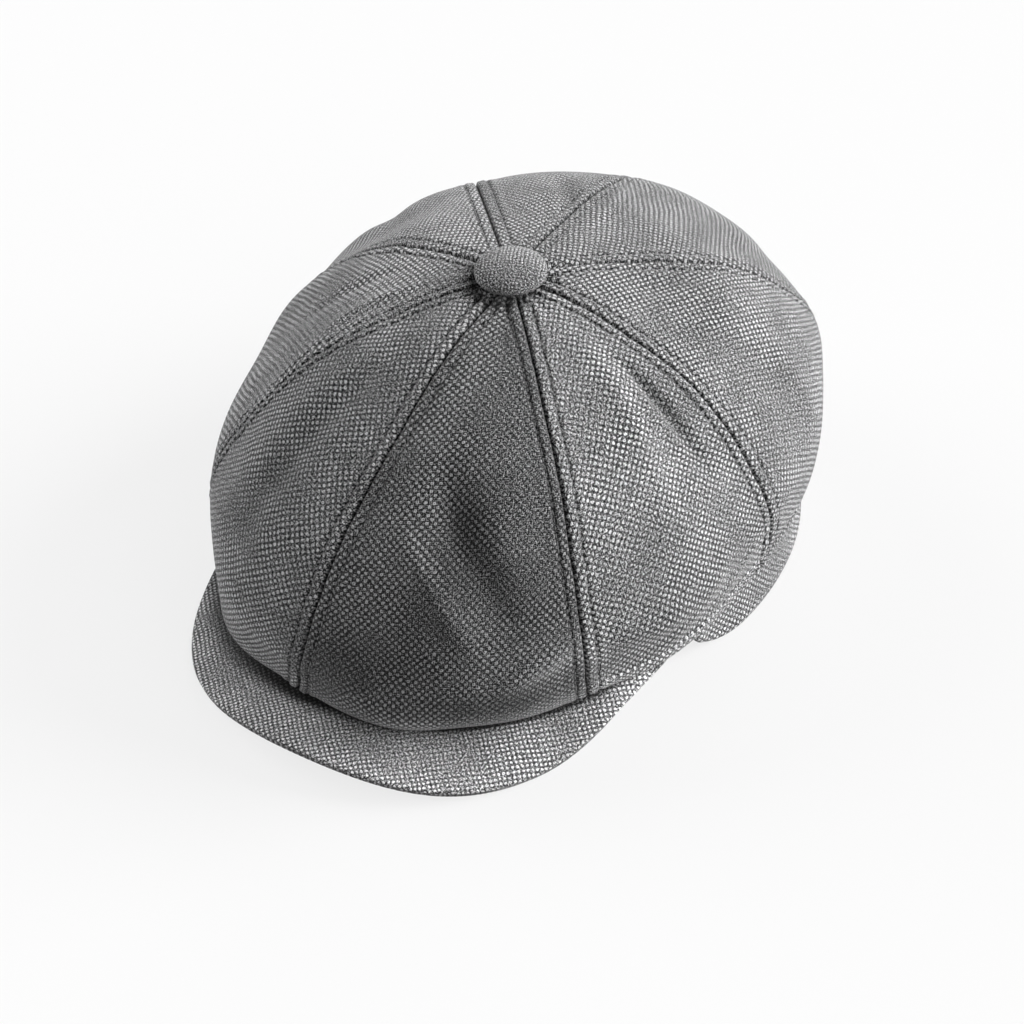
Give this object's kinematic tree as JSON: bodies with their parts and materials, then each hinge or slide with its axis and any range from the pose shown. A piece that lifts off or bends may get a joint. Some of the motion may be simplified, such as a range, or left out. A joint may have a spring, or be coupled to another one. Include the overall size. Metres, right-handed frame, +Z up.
{
  "type": "newsboy cap",
  "caption": "Soft woven cap with a full panelled crown gathered to a covered top button, a short stiffened peak and a band that seats on a head.",
  "frame": {"origin": "middle of the bounding box's underside, on the surface that the cap rests on", "axes": "+Z up towards the button, -Y forward over the peak, +X towards the wearer's left"},
  "size_m": [0.1994, 0.266, 0.1268],
  "materials": {
    "crown_cloth": "matte woven wool, light dots on charcoal",
    "button_cloth": "matte woven wool, light dots on charcoal",
    "peak_cloth": "matte woven wool over a stiff core",
    "headband_cloth": "matte woven wool",
    "back_band_cloth": "matte woven wool, folded"
  },
  "bodies": {
    "root": {"crown_panel_front_left": "crown_cloth", "crown_panel_side_front_left": "crown_cloth", "crown_panel_side_back_left": "crown_cloth", "crown_panel_back_left": "crown_cloth", "crown_panel_back_right": "crown_cloth", "crown_panel_side_back_right": "crown_cloth", "crown_panel_side_front_right": "crown_cloth", "crown_panel_front_right": "crown_cloth", "crown_button": "button_cloth", "peak": "peak_cloth", "headband": "headband_cloth", "back_band": "back_band_cloth"}
  },
  "joints": []
}
